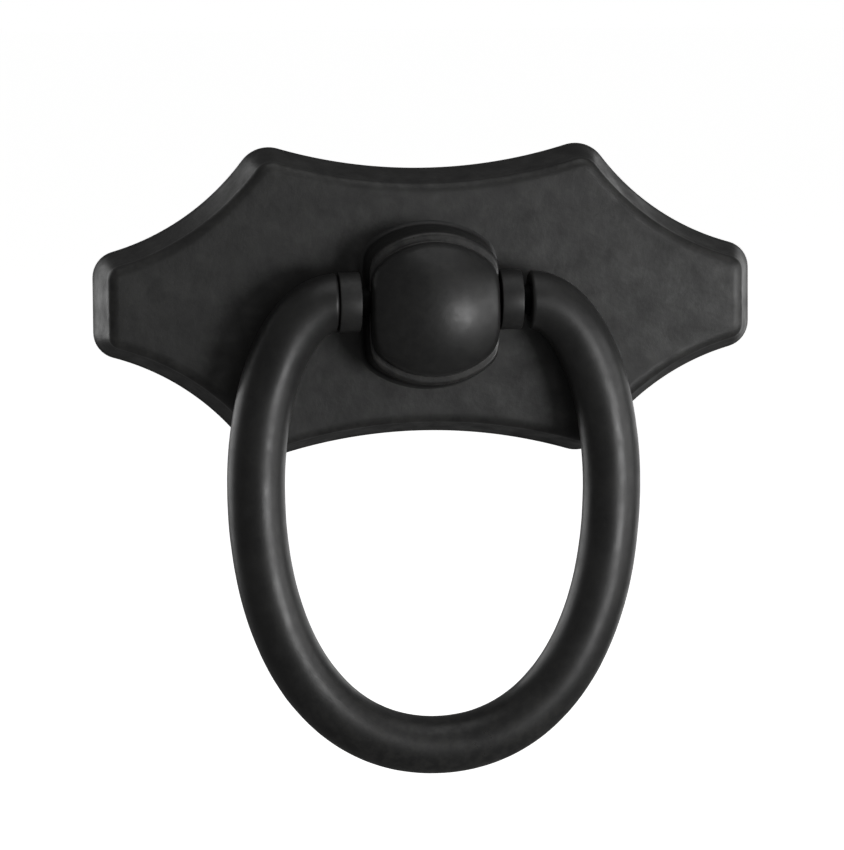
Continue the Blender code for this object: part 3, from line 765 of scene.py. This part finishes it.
def make_ring(material):
    right = ring_half()
    left = [(Vector((-place.x, place.y)), Vector((way.x, -way.y))) for place, way in reversed(right[:-1])]
    stations = right + left
    loops = ring_end(*right[0])
    clear = RING_END_X + 1.2 * RING_END_ROUND
    for place, heading in stations:
        if abs(place.x) > clear or place.y < -RING_WIDEST_DROP:
            loops.append(bar_loop(place, heading, BAR_RADIUS))
    last, heading = stations[-1]
    far_end = ring_end(last, -heading)
    for loop in reversed(far_end):
        count = len(loop)
        loops.append([loop[(count // 2 - i) % count] for i in range(count)])
    mesh = loft("ring_casting", loops)
    roughen(mesh, 0.035 * MM, 9 * MM)
    roughen(mesh, 0.010 * MM, 2 * MM)
    low = ring_low.z
    set_attribute(mesh, "wear", lambda co: 0.15 + 0.6 * (1 - smoothstep(low, low + 25 * MM, co.z)))
    return piece("ring_casting", mesh, material, "knocker", "ring_iron", "knocker_ring")


# Fixings


def threaded(name, radius, pitch, length, chamfer, sides=40):
    """A threaded rod from Z = 0 to its length: a helical skin, cut square and chamfered at both ends."""
    depth = THREAD_DEPTH * pitch
    rows = len(THREAD_PROFILE)
    turns = int(length / pitch) + 3
    bm = bmesh.new()
    columns = []
    for i in range(sides):
        angle = 2 * math.pi * i / sides
        column = []
        for turn in range(turns):
            for along, share in THREAD_PROFILE:
                z = (turn - 1 + along + i / sides) * pitch
                most = radius - chamfer + max(0.0, min(z, length - z))
                r = min(radius - depth * share, most)
                column.append(bm.verts.new((r * math.cos(angle), r * math.sin(angle), z)))
        columns.append(column)
    for i in range(sides):
        shift = rows if i == sides - 1 else 0
        near, far = columns[i], columns[(i + 1) % sides]
        for row in range(len(near) - 1 - shift):
            a, b = near[row + shift], near[row + shift + 1]
            bm.faces.new((a, far[row], far[row + 1], b))
    for height, normal in ((0.0, (0, 0, -1)), (length, (0, 0, 1))):
        geometry = bm.verts[:] + bm.edges[:] + bm.faces[:]
        bmesh.ops.bisect_plane(bm, geom=geometry, plane_co=(0, 0, height), plane_no=normal, clear_outer=True)
    bmesh.ops.remove_doubles(bm, verts=bm.verts, dist=1e-7)
    bmesh.ops.holes_fill(bm, edges=[edge for edge in bm.edges if edge.is_boundary])
    return finished(name, bm)


def make_stud(name, node, material):
    low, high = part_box(node)
    mesh = threaded(name, STUD_RADIUS, STUD_PITCH, high.y - low.y, STUD_CHAMFER)
    mesh = moved(mesh, ((low.x + high.x) / 2, low.y, 0), INTO_DOOR)
    return piece(name, mesh, material, "mounting", "zinc_steel", node)


def make_washer(name, node, material):
    low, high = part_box(node)
    mesh = rounded_tube(name, WASHER_RADIUS, STUD_RADIUS + GAP, WASHER_THICKNESS, WASHER_EDGE)
    mesh = moved(mesh, ((low.x + high.x) / 2, low.y, 0), INTO_DOOR)
    roughen(mesh, 0.015 * MM, 4 * MM)
    return piece(name, mesh, material, "mounting", "zinc_steel", node, sharp=60)


def nut_mesh(name):
    """A hexagon with turned corners, a round cap and a plain bore, from Z = 0."""
    corner = NUT_ACROSS_FLATS / 2 / math.cos(math.pi / 6) + RUNNING
    flat = NUT_ACROSS_FLATS / 2 - NUT_FACE_INSET
    drop = (corner - flat) * math.tan(NUT_CORNER_ANGLE)
    blank = [(flat, 0.0), (corner, drop), (corner, NUT_HEX_HEIGHT - drop), (flat, NUT_HEX_HEIGHT)]
    mesh = hexagon_bar(name, NUT_ACROSS_FLATS, -OVERRUN, NUT_HEX_HEIGHT + OVERRUN)
    mesh = boolean(mesh, turned("blank", blank, TURNED_SIDES), "INTERSECT")
    spring = NUT_HEIGHT - NUT_DOME_RADIUS
    cap = [(NUT_DOME_RADIUS, NUT_HEX_HEIGHT - OVERRUN), (NUT_DOME_RADIUS, NUT_HEX_HEIGHT)]
    cap += quarter((0.0, spring), NUT_DOME_RADIUS, 0, 24)[:-1]
    mesh = boolean(mesh, turned("cap", cap), "UNION")
    bore = [
        (STUD_RADIUS + RUNNING + OVERRUN + GAP, -OVERRUN),
        (STUD_RADIUS + RUNNING, GAP),
        (STUD_RADIUS + RUNNING, NUT_BORE_DEPTH),
    ]
    return boolean(mesh, turned("bore", bore, BORE_SIDES), "DIFFERENCE")


def make_nut(name, node, material):
    low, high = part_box(node)
    mesh = moved(nut_mesh(name), ((low.x + high.x) / 2, low.y, 0), INTO_DOOR)
    nut = piece(name, mesh, material, "mounting", "nut_steel", node, sharp=NUT_SHARP_ANGLE)
    bevel = nut.modifiers.new("edges", "BEVEL")
    bevel.width = NUT_EDGE
    bevel.segments = 2
    bevel.angle_limit = math.radians(NUT_SHARP_ANGLE)
    bevel.harden_normals = True
    return nut


def make_screw(material):
    cone = SCREW_HEAD_RADIUS - SCREW_RADIUS
    shank = threaded("post_screw_fine", SCREW_RADIUS, SCREW_PITCH, SCREW_LENGTH - cone, SCREW_CHAMFER)
    mesh = moved(shank, (0, 0, -SCREW_LENGTH))
    head = [
        (SCREW_RADIUS - THREAD_DEPTH * SCREW_PITCH, -SCREW_HEAD_RIM - cone - OVERRUN),
        (SCREW_RADIUS - THREAD_DEPTH * SCREW_PITCH, -SCREW_HEAD_RIM - cone),
        (SCREW_HEAD_RADIUS, -SCREW_HEAD_RIM),
    ]
    head += quarter((SCREW_HEAD_RADIUS - SCREW_HEAD_EDGE, -SCREW_HEAD_EDGE), SCREW_HEAD_EDGE, 0, 3)
    mesh = boolean(mesh, turned("head", head, TURNED_SIDES), "UNION")
    socket = hexagon_bar("socket", SOCKET_ACROSS_FLATS, -SOCKET_DEPTH, OVERRUN)
    mesh = boolean(mesh, socket, "DIFFERENCE")
    mesh = moved(mesh, (0, -SCREW_SET_BACK, POST_CENTRE_Z), INTO_DOOR)
    return piece("countersunk_screw", mesh, material, "mounting", "screw_steel", "post_screw")


# Studio


def make_camera():
    azimuth, elevation, roll = (math.radians(value) for value in CAMERA_DIRECTION)
    target = Vector(CAMERA_TARGET)
    back = Vector((
        math.sin(azimuth) * math.cos(elevation),
        -math.cos(azimuth) * math.cos(elevation),
        math.sin(elevation),
    ))
    place = back * CAMERA_DISTANCE
    forward = (target - place).normalized()
    right = forward.cross(Vector((0, 0, 1))).normalized()
    up = right.cross(forward)
    turned_right = right * math.cos(roll) + up * math.sin(roll)
    turned_up = up * math.cos(roll) - right * math.sin(roll)
    data = bpy.data.cameras.new("camera")
    data.lens = CAMERA_LENS
    data.sensor_width = 36.0
    data.clip_start = 0.05
    camera = bpy.data.objects.new("camera", data)
    axes = Matrix((turned_right, turned_up, -forward)).transposed()
    camera.matrix_world = Matrix.Translation(place) @ axes.to_4x4()
    bpy.context.scene.collection.objects.link(camera)
    bpy.context.scene.camera = camera


def make_light(name, azimuth, elevation, distance, size, power):
    """A soft round light that faces the object from an azimuth (0 in front, 90 at the right)."""
    a, e = math.radians(azimuth), math.radians(elevation)
    back = Vector((math.sin(a) * math.cos(e), -math.cos(a) * math.cos(e), math.sin(e)))
    data = bpy.data.lights.new(name, "AREA")
    data.shape = "ELLIPSE"
    data.size, data.size_y = size
    data.energy = power
    light = bpy.data.objects.new(name, data)
    light.location = back * distance + Vector((0, 0, LIGHT_TARGET_Z))
    light.rotation_mode = "QUATERNION"
    light.rotation_quaternion = back.to_track_quat("Z", "Y")
    bpy.context.scene.collection.objects.link(light)


def make_world():
    world = bpy.data.worlds.new("studio")
    world.use_nodes = True
    nodes, links = world.node_tree.nodes, world.node_tree.links
    fill = nodes["Background"]
    fill.inputs["Color"].default_value = (1.0, 1.0, 1.0, 1.0)
    fill.inputs["Strength"].default_value = WORLD_FILL
    seen = nodes.new("ShaderNodeBackground")
    seen.inputs["Color"].default_value = (1.0, 1.0, 1.0, 1.0)
    seen.inputs["Strength"].default_value = 1.0
    mix = nodes.new("ShaderNodeMixShader")
    links.new(nodes.new("ShaderNodeLightPath").outputs["Is Camera Ray"], mix.inputs["Fac"])
    links.new(fill.outputs["Background"], mix.inputs[1])
    links.new(seen.outputs["Background"], mix.inputs[2])
    links.new(mix.outputs["Shader"], nodes["World Output"].inputs["Surface"])
    bpy.context.scene.world = world


def make_floor():
    bm = bmesh.new()
    bmesh.ops.create_circle(bm, cap_ends=True, segments=96, radius=FLOOR_RADIUS)
    mesh = finished("floor", bm)
    mesh.transform(Matrix.Translation((0, 0, FLOOR_Z)))
    tree = Tree("pale_floor", (0.86, 0.86, 0.85), 0.85)
    tree.set("Base Color", tree.mixed(tree.noise(0.02, 4.0), (0.84, 0.84, 0.83), (0.88, 0.88, 0.87)))
    tree.shader.inputs["Emission Color"].default_value = (1.0, 1.0, 1.0, 1.0)
    tree.shader.inputs["Emission Strength"].default_value = FLOOR_GLOW
    mesh.materials.append(tree.material)
    floor = bpy.data.objects.new("floor", mesh)
    floor.visible_diffuse = False
    floor.visible_glossy = False
    floor.visible_shadow = False
    bpy.context.scene.collection.objects.link(floor)


def make_object():
    look = (0.020, 0.020, 0.0195), (0.027, 0.027, 0.026), 0.47, 10 * MM, 0.04 * MM, 0.6
    make_plate(coated_iron("plate_coating", *look))
    look = (0.015, 0.015, 0.015), (0.019, 0.019, 0.0185), 0.40, 6 * MM, 0.012 * MM, 0.3
    make_post(coated_iron("post_coating", *look))
    look = (0.016, 0.016, 0.016), (0.021, 0.021, 0.0205), 0.40, 8 * MM, 0.018 * MM, 0.3
    make_ring(coated_iron("ring_coating", *look))
    look = (0.018, 0.018, 0.018), (0.022, 0.022, 0.0215), 0.46, 4 * MM, 0.012 * MM, 0.3
    make_collars(coated_iron("collar_coating", *look))
    # The pin is blackened steel made nearly black: painted shade for the shadowed gap where it shows between
    # the right collar and the ring's end.
    make_pin(bright_steel("pin_darkened_as_gap_shade", (0.012, 0.012, 0.012), (0.008, 0.008, 0.008), 0.55))
    make_screw(bright_steel("black_oxide", (0.060, 0.060, 0.062), (0.035, 0.035, 0.036), 0.36))
    zinc = bright_steel("zinc_plate", (0.66, 0.67, 0.70), (0.55, 0.56, 0.58), 0.30)
    black_nut = bright_steel("blackened_steel", (0.070, 0.070, 0.072), (0.045, 0.045, 0.046), 0.38)
    for side in ("left", "right"):
        make_stud(f"threaded_stud_{side}", f"stud_{side}", zinc)
        make_washer(f"plain_washer_{side}", f"washer_{side}", zinc)
        make_nut(f"cap_nut_{side}", f"dome_nut_{side}", black_nut)


def make_studio():
    bpy.context.scene.view_settings.view_transform = "Standard"
    make_camera()
    make_world()
    make_floor()
    make_light("key", 36, -6, 0.52, (0.22, 0.19), 1.12)
    make_light("side", 72, 2, 0.50, (0.33, 0.33), 0.46)
    make_light("front_fill", 35, 0, 1.3, (1.7, 2.3), 2.2)
    make_light("overhead", 20, 70, 0.9, (0.8, 0.8), 1.1)
    make_light("back_left", -130, 10, 1.3, (1.2, 1.2), 6)
    make_light("back_right", 135, 0, 0.9, (0.8, 0.8), 1.5)


make_object()
make_studio()
